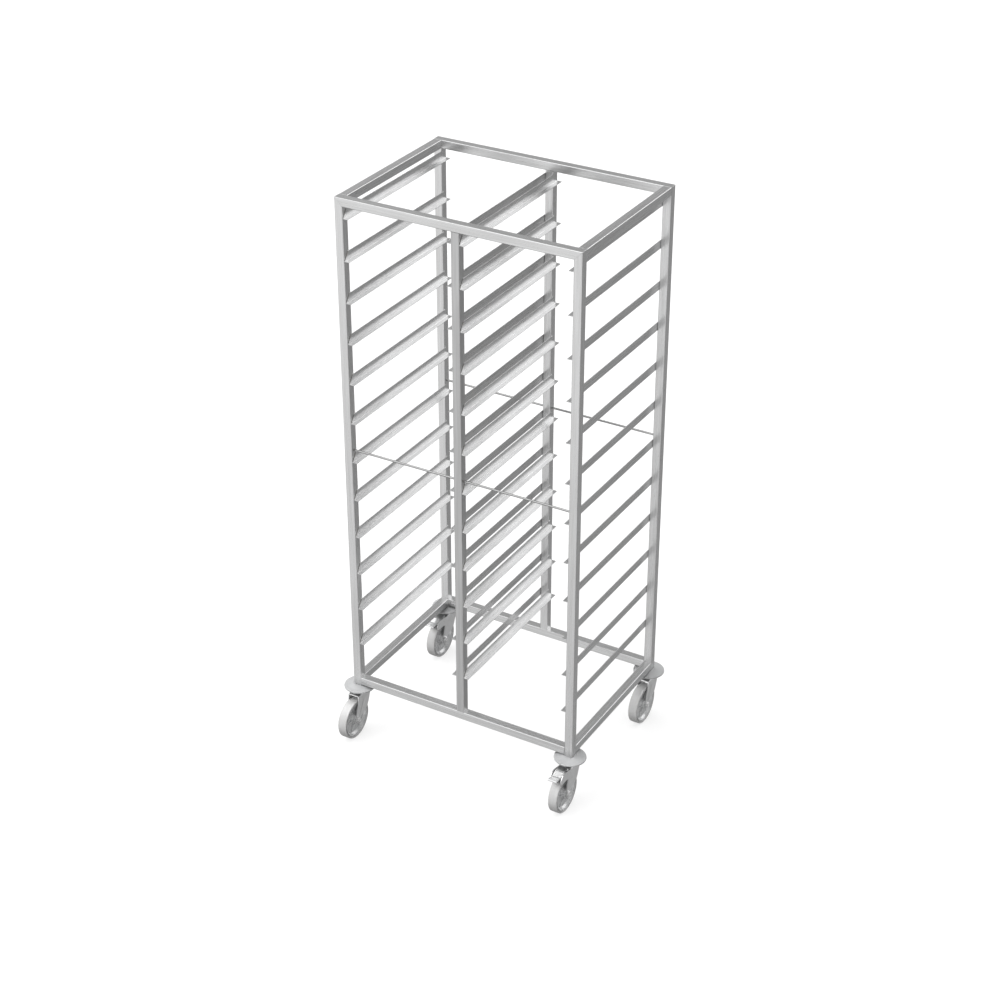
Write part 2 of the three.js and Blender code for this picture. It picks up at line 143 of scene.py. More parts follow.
class Nodes:
    """A short way to add and link shader nodes in one material."""

    def __init__(self, name):
        self.material = bpy.data.materials.new(name)
        self.material.use_nodes = True
        self.tree = self.material.node_tree
        self.shader = self.tree.nodes["Principled BSDF"]

    def add(self, kind, **settings):
        node = self.tree.nodes.new(kind)
        for key, value in settings.items():
            if isinstance(value, (int, float, tuple)) and key in node.inputs:
                node.inputs[key].default_value = value
            else:
                setattr(node, key, value)
        return node

    def link(self, source, output, target, input_name):
        self.tree.links.new(source.outputs[output], target.inputs[input_name])

    def set(self, **values):
        for key, value in values.items():
            self.shader.inputs[key.replace("_", " ")].default_value = value

    def coordinates(self, scale):
        where = self.add("ShaderNodeTexCoord")
        mapping = self.add("ShaderNodeMapping")
        mapping.inputs["Scale"].default_value = scale
        self.link(where, "Object", mapping, "Vector")
        return mapping

    def noise(self, scale, detail, coordinates):
        node = self.add("ShaderNodeTexNoise", Scale=scale, Detail=detail)
        self.link(coordinates, "Vector", node, "Vector")
        return node

    def ramp(self, source, output, low, high, low_at=0.3, high_at=0.7):
        node = self.add("ShaderNodeValToRGB")
        node.color_ramp.elements[0].position = low_at
        node.color_ramp.elements[1].position = high_at
        node.color_ramp.elements[0].color = low
        node.color_ramp.elements[1].color = high
        self.link(source, output, node, "Fac")
        return node

    def value_range(self, source, output, low, high, low_at=0.3, high_at=0.7):
        node = self.add("ShaderNodeMapRange")
        node.inputs["From Min"].default_value = low_at
        node.inputs["From Max"].default_value = high_at
        node.inputs["To Min"].default_value = low
        node.inputs["To Max"].default_value = high
        self.link(source, output, node, "Value")
        return node

    def bump(self, source, output, strength, distance):
        node = self.add("ShaderNodeBump", Strength=strength, Distance=distance)
        self.link(source, output, node, "Height")
        self.link(node, "Normal", self.shader, "Normal")


def grey(level, warm=0.0):
    return (level + warm, level, level - warm, 1.0)


def brushed_steel(name, grain, level=0.6, roughness=0.3, streak=0.06):
    """Satin steel, ground along the grain axis: fine and coarser scratches over a cloudy variation."""
    nodes = Nodes(name)
    long, short = 16, 700
    fine_scale = tuple(long if axis == grain else short for axis in "xyz")
    coarse_scale = tuple(value * 0.3 for value in fine_scale)
    fine = nodes.noise(1.0, 3.0, nodes.coordinates(fine_scale))
    coarse = nodes.noise(1.0, 2.0, nodes.coordinates(coarse_scale))
    clouds = nodes.noise(5.0, 4.0, nodes.coordinates((1, 1, 1)))
    low, high = grey(level - 0.035), grey(level + 0.035, -0.002)
    colour = nodes.ramp(coarse, "Fac", low, high, 0.35, 0.65)
    tint = nodes.ramp(clouds, "Fac", grey(0.96), grey(1.0))
    mix = nodes.add("ShaderNodeMix", data_type="RGBA", blend_type="MULTIPLY")
    mix.inputs["Factor"].default_value = 1.0
    # A colour mix takes its two colours at inputs 6 and 7, and gives its own at output 2.
    nodes.tree.links.new(colour.outputs["Color"], mix.inputs[6])
    nodes.tree.links.new(tint.outputs["Color"], mix.inputs[7])
    nodes.tree.links.new(mix.outputs[2], nodes.shader.inputs["Base Color"])
    rough = nodes.value_range(fine, "Fac", roughness - streak, roughness + streak)
    nodes.link(rough, "Result", nodes.shader, "Roughness")
    nodes.bump(coarse, "Fac", 0.1, 0.00008)
    nodes.set(Metallic=1.0)
    return nodes.material


def zinc_plate(name, level=0.8, roughness=0.28):
    """Pressed sheet with a bright zinc coat: a faint spangle and a slow waviness from the press."""
    nodes = Nodes(name)
    cells = nodes.add("ShaderNodeTexVoronoi", Scale=260.0)
    nodes.link(nodes.coordinates((1, 1, 1)), "Vector", cells, "Vector")
    waves = nodes.noise(60.0, 3.0, nodes.coordinates((1, 1, 1)))
    colour = nodes.ramp(waves, "Fac", grey(level - 0.04, 0.0), grey(level + 0.03, -0.004))
    nodes.link(colour, "Color", nodes.shader, "Base Color")
    rough = nodes.value_range(cells, "Distance", roughness - 0.01, roughness + 0.03, 0.0, 0.8)
    nodes.link(rough, "Result", nodes.shader, "Roughness")
    nodes.bump(waves, "Fac", 0.08, 0.0001)
    nodes.set(Metallic=1.0)
    return nodes.material


def bright_steel(name, level, roughness):
    """Drawn or turned bright steel, with faint rings or draw marks."""
    nodes = Nodes(name)
    marks = nodes.noise(1.0, 2.0, nodes.coordinates((700, 40, 700)))
    rough = nodes.value_range(marks, "Fac", roughness - 0.04, roughness + 0.08)
    nodes.link(rough, "Result", nodes.shader, "Roughness")
    colour = nodes.ramp(marks, "Fac", grey(level - 0.05), grey(level + 0.02))
    nodes.link(colour, "Color", nodes.shader, "Base Color")
    nodes.set(Metallic=1.0)
    return nodes.material


def weld_and_shadow_metal(name):
    """Weld beads: rippled, rougher than the tube, and dark grey to paint the shadow line along the joints,
    with a straw tint here and there.
    """
    nodes = Nodes(name)
    ripples = nodes.noise(900.0, 2.0, nodes.coordinates((1, 1, 1)))
    tint = nodes.noise(120.0, 2.0, nodes.coordinates((1, 1, 1)))
    # The dark grey paints the shadow line along the joints; the straw tint is the weld's own.
    colour = nodes.ramp(tint, "Fac", grey(0.22), (0.34, 0.32, 0.29, 1.0))
    nodes.link(colour, "Color", nodes.shader, "Base Color")
    rough = nodes.value_range(ripples, "Fac", 0.32, 0.5)
    nodes.link(rough, "Result", nodes.shader, "Roughness")
    nodes.bump(ripples, "Fac", 0.4, 0.0002)
    nodes.set(Metallic=1.0)
    return nodes.material


def moulded_plastic(name, level, roughness, grain_scale=1400.0, metallic=0.0):
    """Moulded grey plastic with a fine eroded grain and slight flow marks, or with metal flake in it."""
    nodes = Nodes(name)
    grain = nodes.noise(grain_scale, 3.0, nodes.coordinates((1, 1, 1)))
    flow = nodes.noise(30.0, 3.0, nodes.coordinates((1, 1, 1)))
    colour = nodes.ramp(flow, "Fac", grey(level - 0.015, -0.003), grey(level + 0.015, -0.003))
    nodes.link(colour, "Color", nodes.shader, "Base Color")
    rough = nodes.value_range(flow, "Fac", roughness - 0.04, roughness + 0.06)
    nodes.link(rough, "Result", nodes.shader, "Roughness")
    nodes.bump(grain, "Fac", 0.2, 0.00006)
    nodes.set(Metallic=metallic)
    return nodes.material


def tyre_rubber(name, level=0.34):
    """Light grey non-marking rubber: dull, fine pores, and a dusty scuff where it rolls."""
    nodes = Nodes(name)
    pores = nodes.noise(1100.0, 4.0, nodes.coordinates((1, 1, 1)))
    scuff = nodes.noise(1.0, 4.0, nodes.coordinates((260, 45, 45)))
    colour = nodes.ramp(scuff, "Fac", grey(level - 0.025, 0.002), grey(level + 0.02, 0.0))
    nodes.link(colour, "Color", nodes.shader, "Base Color")
    rough = nodes.value_range(scuff, "Fac", 0.38, 0.5)
    nodes.link(rough, "Result", nodes.shader, "Roughness")
    nodes.bump(pores, "Fac", 0.25, 0.00008)
    nodes.set(IOR=2.0)
    return nodes.material


STEEL = {axis: brushed_steel(f"satin_steel_{axis}", axis) for axis in "xyz"}
# A darker copy of the satin steel, for the front middle post: painted shade.
STEEL_PAINTED_SHADE = brushed_steel("satin_steel_painted_shade", "z", 0.48, 0.34)
ROD_STEEL = bright_steel("drawn_rod_steel", 0.36, 0.16)
ZINC = zinc_plate("zinc_plate")
FASTENER = bright_steel("plated_fastener", 0.72, 0.3)
WELD_AND_SHADOW = weld_and_shadow_metal("weld_bead_painted_shadow")
TYRE = tyre_rubber("grey_tyre_rubber")
RIM = moulded_plastic("grey_rim_plastic", 0.5, 0.26, metallic=0.4)
BUMPER = moulded_plastic("light_bumper_plastic", 0.3, 0.36, 900.0)
SEAL = moulded_plastic("dark_seal_plastic", 0.08, 0.5)

# ---------------------------------------------------------------- mesh building

# Edges that turn by more than these angles, in degrees, are shaded sharp and are rounded off.
SHARP_ANGLE = 32
EASED_ANGLE = 40


def place(x, y, z):
    """A point of the scene, in metres, from mm off the frame's front left lower corner."""
    return CORNER + Vector((x, y, z)) * MM


def to_axis(axis, u, v, along):
    """Section coordinates (u, v) and a distance along an axis, as x, y, z."""
    if axis == "x":
        return (along, u, v)
    if axis == "y":
        return (u, along, v)
    return (u, v, along)


def make_piece(name, points, faces, material, origin=(0, 0, 0), bevel=0.0, sharp=SHARP_ANGLE):
    """A mesh from points in mm around origin (mm, in the frame), outward-facing, with eased edges."""
    mesh = bpy.data.meshes.new(name)
    mesh.from_pydata([place(*(Vector(p) + Vector(origin))) for p in points], [], faces)
    return finish_mesh(name, mesh, material, bevel, sharp)


def finish_mesh(name, mesh, material, bevel, sharp):
    work = bmesh.new()
    work.from_mesh(mesh)
    bmesh.ops.remove_doubles(work, verts=work.verts, dist=1e-7)
    bmesh.ops.recalc_face_normals(work, faces=work.faces)
    for face in work.faces:
        face.smooth = True
    work.to_mesh(mesh)
    work.free()
    mesh.set_sharp_from_angle(angle=math.radians(sharp))
    mesh.materials.append(material)
    obj = bpy.data.objects.new(name, mesh)
    bpy.context.scene.collection.objects.link(obj)
    if bevel > 0:
        ease_edges(obj, bevel, 2, EASED_ANGLE)
    return obj


def ease_edges(obj, width, segments, angle):
    """Rounds off, by a width in mm, the edges that turn by more than an angle in degrees."""
    ease = obj.modifiers.new("eased_edges", "BEVEL")
    ease.width = width * MM
    ease.segments = segments
    ease.limit_method = "ANGLE"
    ease.angle_limit = math.radians(angle)
    ease.use_clamp_overlap = True
    ease.harden_normals = True


def fillet(points, closed=True, steps=5):
    """Rounds the corners of a polyline whose points are (u, v) or (u, v, radius)."""
    result = []
    count = len(points)
    for index, point in enumerate(points):
        here = Vector(point[:2])
        radius = point[2] if len(point) > 2 else 0
        at_end = not closed and index in (0, count - 1)
        if radius <= 0 or at_end:
            result.append(tuple(here))
            continue
        before = Vector(points[index - 1][:2]) - here
        after = Vector(points[(index + 1) % count][:2]) - here
        half = before.angle(after) / 2
        reach = min(radius / math.tan(half), before.length * 0.49, after.length * 0.49)
        start = here + before.normalized() * reach
        end = here + after.normalized() * reach
        centre_way = (before.normalized() + after.normalized()).normalized()
        true_radius = reach * math.tan(half)
        centre = here + centre_way * (true_radius / math.sin(half))
        first = (start - centre).normalized()
        turn = first.angle_signed((end - centre).normalized())
        for step in range(steps + 1):
            angle = -turn * step / steps
            spin = Matrix.Rotation(angle, 2)
            result.append(tuple(centre + spin @ first * true_radius))
    return result


def wall(name, outer, inner, closed, axis, low, high, material, origin=(0, 0, 0), bevel=0.25):
    """A walled section swept along an axis. outer and inner pair up point by point; low and high
    give where each point's sweep starts and ends, as numbers or functions of (u, v)."""
    start = low if callable(low) else lambda u, v: low
    stop = high if callable(high) else lambda u, v: high
    count = len(outer)
    points = []
    for section in (outer, inner):
        points += [to_axis(axis, u, v, start(u, v)) for u, v in section]
        points += [to_axis(axis, u, v, stop(u, v)) for u, v in section]
    out_low, out_high, in_low, in_high = (count * k for k in range(4))
    faces = []
    pairs = [(i, (i + 1) % count) for i in range(count if closed else count - 1)]
    for i, j in pairs:
        faces.append((out_low + i, out_low + j, out_high + j, out_high + i))
        faces.append((in_low + j, in_low + i, in_high + i, in_high + j))
        faces.append((in_low + i, in_low + j, out_low + j, out_low + i))
        faces.append((out_high + i, out_high + j, in_high + j, in_high + i))
    if not closed:
        last = count - 1
        faces.append((out_low, out_high, in_high, in_low))
        faces.append((out_low + last, in_low + last, in_high + last, out_high + last))
    return make_piece(name, points, faces, material, origin, bevel)


def rounded_box(u0, v0, u1, v1, radius):
    corners = [(u0, v0, radius), (u1, v0, radius), (u1, v1, radius), (u0, v1, radius)]
    return fillet(corners)


def tube(name, axis, u, v, width, height, low, high, material):
    """A hollow rectangular tube with rounded corners; (u, v) is the section's low corner."""
    outer = rounded_box(u, v, u + width, v + height, TUBE_CORNER)
    inner = rounded_box(
        u + TUBE_WALL, v + TUBE_WALL, u + width - TUBE_WALL, v + height - TUBE_WALL, 0.8
    )
    return wall(name, outer, inner, True, axis, low, high, material)


def lathe(name, profile, axis, centre, segments, material, sharp=SHARP_ANGLE):
    """Turns (radius, offset) points about an axis through centre. Points at radius 0 are poles."""
    points = []
    rings = []
    for radius, offset in profile:
        if radius < 1e-6:
            rings.append([len(points)])
            points.append(to_axis(axis, 0, 0, offset))
            continue
        rings.append(list(range(len(points), len(points) + segments)))
        for step in range(segments):
            angle = 2 * math.pi * step / segments
            points.append(
                to_axis(axis, radius * math.cos(angle), radius * math.sin(angle), offset)
            )
    faces = []
    joined = rings if len(rings[0]) == 1 else rings + [rings[0]]
    for first, second in zip(joined, joined[1:]):
        for step in range(segments):
            after = (step + 1) % segments
            loop = [
                first[step % len(first)],
                second[step % len(second)],
                second[after % len(second)],
                first[after % len(first)],
            ]
            faces.append(tuple(dict.fromkeys(loop)))
    return make_piece(name, points, faces, material, centre, sharp=sharp)


def prism_faces(count):
    """The faces of a prism whose points are two rings of count points, one end and the other."""
    faces = [tuple(range(count))[::-1], tuple(range(count, 2 * count))]
    faces += [(i, (i + 1) % count, count + (i + 1) % count, count + i) for i in range(count)]
    return faces


def plate(name, outline, axis, low, high, material, origin=(0, 0, 0), bevel=0.4):
    """A flat plate: a closed outline of (u, v) points, extruded along an axis."""
    points = [to_axis(axis, u, v, low) for u, v in outline]
    points += [to_axis(axis, u, v, high) for u, v in outline]
    return make_piece(name, points, prism_faces(len(outline)), material, origin, bevel)


def thicken(path, thickness):
    """The two sides of a sheet whose upper or left side is path."""
    other = []
    for index, point in enumerate(path):
        before = Vector(path[max(index - 1, 0)])
        after = Vector(path[min(index + 1, len(path) - 1)])
        way = (after - before).normalized()
        other.append(tuple(Vector(point) + Vector((-way.y, way.x)) * thickness))
    return path, other


def unite(target, tool):
    """Joins tool to target, which has no modifiers yet, and removes tool."""
    union = target.modifiers.new("union", "BOOLEAN")
    union.operation = "UNION"
    union.solver = "EXACT"
    union.object = tool
    bpy.context.view_layer.update()
    graph = bpy.context.evaluated_depsgraph_get()
    mesh = bpy.data.meshes.new_from_object(target.evaluated_get(graph))
    target.modifiers.remove(union)
    target.data = mesh
    mesh.set_sharp_from_angle(angle=math.radians(SHARP_ANGLE))
    bpy.data.objects.remove(tool)


# ---------------------------------------------------------------- frame


def build_corner_post(side, row):
    """A corner post, mitred at the top so that it turns into the top rail."""
    x = 0 if side == "left" else WIDTH - TUBE
    y = 0 if row == "front" else DEPTH - TUBE
    outer = 0 if side == "left" else WIDTH
    top = lambda u, v: HEIGHT - MITRE_ROOM - abs(u - outer)
    name = f"{row}_{side}_post"
    return tube(name, "z", x, y, TUBE, TUBE, 0, top, STEEL["z"])


def build_middle_post(row):
    """A middle post, from the bottom rail up to the top rail."""
    y = 0 if row == "front" else DEPTH - TUBE
    low = RAIL_RISE + TUBE + SEAM
    high = HEIGHT - TUBE - SEAM
    x = (WIDTH - TUBE) / 2
    # The front middle post takes the darker copy of the steel, which paints shade on it.
    finish = STEEL_PAINTED_SHADE if row == "front" else STEEL["z"]
    return tube(f"{row}_middle_post", "z", x, y, TUBE, TUBE, low, high, finish)


def build_rails():
    """Front and rear top rails mitred into the corner posts, and plain rails for the rest."""
    inner = TUBE + SEAM
    pieces = []
    for row, y in (("front", 0), ("rear", DEPTH - TUBE)):
        low = lambda u, v: HEIGHT - v + MITRE_ROOM
        high = lambda u, v: WIDTH - (HEIGHT - v) - MITRE_ROOM
        top = tube(
            f"{row}_top_rail", "x", y, HEIGHT - TUBE, TUBE, TUBE, low, high, STEEL["x"]
        )
        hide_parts(f"top_{row}_rail")
        bottom = tube(
            f"{row}_bottom_rail", "x", y, RAIL_RISE, TUBE, TUBE, inner, WIDTH - inner, STEEL["x"]
        )
        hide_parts(f"bottom_{row}_rail")
        pieces += [top, bottom]
    span = (inner, DEPTH - inner)
    for side, x in (("left", 0), ("right", WIDTH - TUBE)):
        for level, z in (("top", HEIGHT - TUBE), ("bottom", RAIL_RISE)):
            rail = tube(f"{side}_{level}_rail", "y", x, z, TUBE, TUBE, *span, STEEL["y"])
            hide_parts(f"{level}_{side}_rail")
            pieces.append(rail)
    return pieces


def runner_section():
    """The L of a runner: the side that faces the post, and the side that faces the tray."""
    bend = RUNNER_BEND + RUNNER_SHEET
    outer = fillet([(0, RUNNER_WEB), (0, 0, bend), (RUNNER_FLANGE, 0)], False, 6)
    sheet = RUNNER_SHEET
    inner = fillet(
        [(sheet, RUNNER_WEB), (sheet, sheet, RUNNER_BEND), (RUNNER_FLANGE, sheet)], False, 6
    )
    return outer, inner


def build_runner(name, face, side, top):
    """One tray runner, welded to the post faces at X = face and pointing to side."""
    low = top - RUNNER_WEB
    bend = RUNNER_BEND + RUNNER_SHEET
    outer, inner = runner_section()

    def setback(u, v):
        rise = max(0.0, v - low - bend) / (RUNNER_WEB - bend)
        return RUNNER_SETBACK + RUNNER_SLANT * rise

    shift = lambda section: [(face + side * u, low + v) for u, v in section]
    return wall(
        name,
        shift(outer),
        shift(inner),
        False,
        "y",
        setback,
        lambda u, v: DEPTH - setback(u, v),
        STEEL["y"],
        bevel=0.2,
    )


def build_weld_and_shadow_bead(name, path):
    """A weld bead along a path, in dark metal that paints the shadow line along the joint: a round bar
    whose thickness swells and narrows like its ripples.
    """
    steps = 22
    sides = 8
    first, last = Vector(path[0]), Vector(path[1])
    along = (last - first).normalized()
    across = along.cross(Vector((1, 0, 0))).normalized()
    out = along.cross(across)
    points = [tuple(first)]
    for step in range(steps + 1):
        share = step / steps
        ends = math.sqrt(max(0.06, 1 - (2 * share - 1) ** 6))
        swell = WELD_RADIUS * ends * (1 + 0.14 * math.cos(step * math.pi))
        centre = first.lerp(last, share)
        for side in range(sides):
            angle = 2 * math.pi * side / sides
            offset = across * math.cos(angle) + out * math.sin(angle)
            points.append(tuple(centre + offset * swell))
    points.append(tuple(last))
    faces = [(0, 1 + (k + 1) % sides, 1 + k) for k in range(sides)]
    for step in range(steps):
        low = 1 + step * sides
        for k in range(sides):
            nearby = (k + 1) % sides
            faces.append((low + k, low + nearby, low + sides + nearby, low + sides + k))
    low = 1 + steps * sides
    faces += [(len(points) - 1, low + k, low + (k + 1) % sides) for k in range(sides)]
    return make_piece(name, points, faces, WELD_AND_SHADOW, sharp=180)


def build_runners():
    """Twelve levels in four columns, each welded to its posts along its slanted ends, where a dark bead
    paints the shadow line.
    """
    middle = WIDTH / 2
    columns = [
        ("left", TUBE, 1),
        ("middle_left", middle - POST_CENTRE, -1),
        ("middle_right", middle + POST_CENTRE, 1),
        ("right", WIDTH - TUBE, -1),
    ]
    pieces = []
    for column, face, side in columns:
        for level in range(LEVELS):
            top = FIRST_RUNNER_TOP + level * LEVEL_PITCH
            name = f"runner_{column}_{level + 1}"
            pieces.append(build_runner(name, face, side, top))
            low = top - RUNNER_WEB + RUNNER_BEND + RUNNER_SHEET
            for end, y, inward in (("front", 0, 1), ("rear", DEPTH, -1)):
                x = face + side * 0.35
                start = y + inward * (RUNNER_SETBACK - 0.2)
                finish = y + inward * (RUNNER_SETBACK + RUNNER_SLANT - 0.2)
                path = ((x, start, low), (x, finish, top - 0.4))
                name = f"weld_{column}_{level + 1}_{end}"
                # A dark bead that paints the shadow line along the runner's slanted end.
                pieces.append(build_weld_and_shadow_bead(name, path))
    return pieces


def build_tie_rods():
    """A bright rod through each row of posts, with a small dark weld collar where it meets them that also
    paints the contact shadow there.
    """
    pieces = []
    middle = WIDTH / 2
    faces = [TUBE, middle - POST_CENTRE, middle + POST_CENTRE, WIDTH - TUBE]
    ways = [1, -1, 1, -1]
    end = TUBE_WALL + JOINT_GAP
    for row, y in (("front", POST_CENTRE), ("rear", DEPTH - POST_CENTRE)):
        radius = ROD_RADIUS
        profile = [(0, end), (radius, end), (radius, WIDTH - end), (0, WIDTH - end)]
        rod = lathe(f"{row}_rod", profile, "x", (0, y, ROD_HEIGHT), 24, ROD_STEEL)
        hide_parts(f"{row}_tie_rod")
        pieces.append(rod)
        for index, (face, way) in enumerate(zip(faces, ways)):
            ring = fillet(
                [
                    (radius - 0.3, face - way * 0.4),
                    (radius + 1.2, face - way * 0.4),
                    (radius + 0.9, face + way * 0.5, 0.4),
                    (radius - 0.3, face + way * 1.3),
                ],
                False,
            )
            name = f"{row}_rod_collar_{index + 1}"
            # The collar's dark weld metal also paints the contact shadow where the rod meets the post.
            pieces.append(lathe(name, ring, "x", (0, y, ROD_HEIGHT), 24, WELD_AND_SHADOW))
    return pieces


def build_frame():
    pieces = build_rails() + build_runners() + build_tie_rods()
    for side in ("left", "right"):
        front = build_corner_post(side, "front")
        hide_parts(f"{side}_runner_ladder")
        pieces += [front, build_corner_post(side, "rear")]
    middle = build_middle_post("front")
    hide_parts("middle_runner_ladder")
    pieces += [middle, build_middle_post("rear")]
    for piece in pieces:
        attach(piece, "frame")


# ---------------------------------------------------------------- casters


def leg_front(z, braked):
    """Where the front edge of a fork leg lies, at a height z below the post's end."""
    if z < -AXLE_DROP:
        return -TRAIL - math.sqrt(max(0.0, LEG_END**2 - (z + AXLE_DROP) ** 2))
    if braked and z > -CROWN_TOP - FORK_CORNER:
        return BRAKED_CROWN_FRONT
    if z < KNEE_HEIGHT:
        share = (z - KNEE_HEIGHT) / (-AXLE_DROP - KNEE_HEIGHT)
        return KNEE_FRONT + share * (-TRAIL - LEG_END - KNEE_FRONT)
    share = (z + CROWN_TOP) / (KNEE_HEIGHT + CROWN_TOP)
    return FORK_FRONT + (KNEE_FRONT - FORK_FRONT) * min(1.0, share)


def leg_back(z):
    """Where the rear edge of a fork leg lies: a swept curve from the crown to the axle's boss."""
    if z < -AXLE_DROP:
        return -TRAIL + math.sqrt(max(0.0, LEG_END**2 - (z + AXLE_DROP) ** 2))
    knots = [
        (-AXLE_DROP, -TRAIL + LEG_END),
        (-99.0, -29.5),
        (-95.5, -18.0),
        (-90.0, -3.5),
        (-82.0, 7.5),
        (-72.0, 13.2),
        (-58.0, 19.0),
        (-46.0, 24.0),
        (-30.0, FORK_BACK),
        (-CROWN_TOP + 1, FORK_BACK),
    ]
    for (low, y0), (high, y1) in zip(knots, knots[1:]):
        if z <= high:
            return y0 + (y1 - y0) * (z - low) / (high - low)
    return FORK_BACK


def fork_section():
    """The fork's bent sheet seen along Y, outside and inside, dense enough for its curved edges."""
    half = FORK_HALF
    corner = FORK_CORNER
    bend_top = -CROWN_TOP - corner
    leg_rows, bend_steps = 26, 6
    turn = [AXLE_DROP + LEG_END * math.sin(math.radians(a)) for a in range(80, -1, -10)]
    rows = [-t for t in turn]
    leg = bend_top + AXLE_DROP
    rows += [-AXLE_DROP + leg * k / leg_rows for k in range(1, leg_rows + 1)]
    outer = [(half, z) for z in rows]
    inner = [(half - FORK_SHEET, z) for z in rows]
    for step in range(1, bend_steps + 1):
        angle = math.pi / 2 * step / bend_steps
        sine, cosine = math.sin(angle), math.cos(angle)
        centre = half - corner
        outer.append((centre + corner * cosine, bend_top + corner * sine))
        inner.append(
            (centre + (corner - FORK_SHEET) * cosine, bend_top + (corner - FORK_SHEET) * sine)
        )
    mirror = lambda section: section + [(-x, z) for x, z in reversed(section)]
    return mirror(outer), mirror(inner)


def cheek_outline():
    """The side outline of the forward cheek that carries the brake's pin."""
    return fillet(
        [
            (-12.0, -30.0, 2.0),
            (-26.0, -26.0, 4.0),
            (-66.0, -18.0, 5.0),
            (-76.0, -20.0, 6.0),
            (-88.0, -33.0, 6.0),
            (-83.0, -48.0, 6.0),
            (-50.0, -49.0, 8.0),
            (-36.0, -58.0, 8.0),
            (-12.0, -50.0, 2.0),
        ]
    )


def leg_rib(name, side, origin):
    """The raised, tapering rib pressed into a fork leg, from under the crown to the axle's boss."""
    start, end = Vector((-6.0, -40.0)), Vector((-TRAIL, -AXLE_DROP))
    along = (end - start).normalized()
    across = Vector((-along.y, along.x))
    length = (end - start).length
    rows, columns = 22, 13
    half_top, half_low, height = 10.5, 7.0, 2.0
    points = []
    for row in range(rows):
        share = row / (rows - 1)
        reach = length * share
        half = half_top + (half_low - half_top) * share
        if reach > length - half_low:
            half = math.sqrt(max(0.04, half_low**2 - (reach - length + half_low) ** 2))
        for column in range(columns):
            off = -1 + 2 * column / (columns - 1)
            spot = start + along * reach + across * off * half
            fade = min(1.0, share * 4.5, (1 - share) * 12)
            rise = height * fade * (0.5 + 0.5 * math.cos(math.pi * off)) ** 0.6
            points.append((side * (FORK_HALF - 0.15 + rise), spot.x, spot.y))
    faces = []
    for row in range(rows - 1):
        for column in range(columns - 1):
            a = row * columns + column
            faces.append((a, a + 1, a + columns + 1, a + columns))
    piece = make_piece(name, points, faces, ZINC, origin, sharp=60)
    back = piece.modifiers.new("backing", "SOLIDIFY")
    back.thickness = 0.8 * MM
    back.offset = -1 if side > 0 else 1
    return piece


def build_fork(prefix, origin, braked):
    """The pressed fork: one bent sheet, pressed ribs, the lower race, and cheeks for a brake."""
    outer, inner = fork_section()
    front = lambda x, z: leg_front(z, braked)
    back = lambda x, z: leg_back(z)
    name = f"{prefix}_fork_sheet"
    fork = wall(name, outer, inner, False, "y", front, back, ZINC, origin, bevel=0.0)
    if braked:
        for side in (1, -1):
            low, high = sorted((side * (FORK_HALF - FORK_SHEET), side * FORK_HALF))
            cheek = plate("cheek", cheek_outline(), "x", low, high, ZINC, origin, bevel=0.0)
            unite(fork, cheek)
    ease_edges(fork, 1.0, 3, 50)
    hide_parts(f"{prefix}_fork")
    ring = fillet(
        [
            (KING_RADIUS + 1, -CROWN_TOP - 0.5),
            (23.0, -CROWN_TOP - 0.5),
            (22.2, -CROWN_TOP + 4.5, 2.0),
            (18.0, -CROWN_TOP + 6.6, 1.0),
            (KING_RADIUS + 1, -CROWN_TOP + 6.6),
        ]
    )
    pieces = [fork, lathe(f"{prefix}_lower_race", ring, "z", origin, 64, ZINC)]
    if not braked:
        pieces += [leg_rib(f"{prefix}_rib_{n}", s, origin) for n, s in (("right", 1), ("left", -1))]
    return pieces


def build_fixed_head(prefix, origin):
    """What stays with the post: insert, bumper disc, upper race cup and king bolt."""
    half = (TUBE - 2 * TUBE_WALL - 2 * JOINT_GAP) / 2
    block = rounded_box(-half, -half, half, half, 1.0)
    insert = plate(f"{prefix}_insert", block, "z", 0, 45, ZINC, origin)
    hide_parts(f"{prefix}_post_insert")
    radius = BUMPER_RADIUS
    disc = fillet(
        [
            (KING_RADIUS + 0.3, -JOINT_GAP),
            (20.0, -JOINT_GAP, 1.5),
            (25.0, -1.4, 6.0),
            (36.0, -3.9, 12.0),
            (radius - 0.6, -5.2, 1.8),
            (radius, -9.6, 1.2),
            (radius - 4.0, -10.0, 0.8),
            (radius - 5.0, -8.2, 0.8),
            (BUMPER_HUB, -8.2, 0.5),
            (BUMPER_HUB, -10.0, 0.3),
            (KING_RADIUS + 0.3, -10.0),
        ]
    )
    bumper = lathe(f"{prefix}_bumper", disc, "z", origin, 96, BUMPER, sharp=40)
    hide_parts(f"{prefix}_bumper_disc")
    cup = fillet(
        [
            (KING_RADIUS + 0.3, -10.3),
            (22.0, -10.3, 2.0),
            (26.0, -13.0, 2.5),
            (26.0, -16.9, 0.3),
            (24.6, -16.9, 0.3),
            (24.0, -14.5, 1.0),
            (KING_RADIUS + 0.3, -14.5),
        ]
    )
    race = lathe(f"{prefix}_race_cup", cup, "z", origin, 64, ZINC)
    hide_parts(f"{prefix}_upper_race")
    low = -CROWN_TOP - FORK_SHEET - JOINT_GAP
    bolt = fillet(
        [
            (0, low - 4.0),
            (9.0, low - 4.0, 2.5),
            (10.0, low, 0.5),
            (KING_RADIUS, low),
            (KING_RADIUS, 42.4, 0.6),
            (0, 43.0),
        ],
        False,
    )
    king = lathe(f"{prefix}_king", bolt, "z", origin, 40, FASTENER)
    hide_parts(f"{prefix}_king_bolt")
    return [insert, bumper, race, king]


def hexagon(radius):
    """A hexagon whose corners are a radius from its middle."""
    angles = [math.radians(a) for a in range(0, 360, 60)]
    return [(radius * math.cos(angle), radius * math.sin(angle)) for angle in angles]


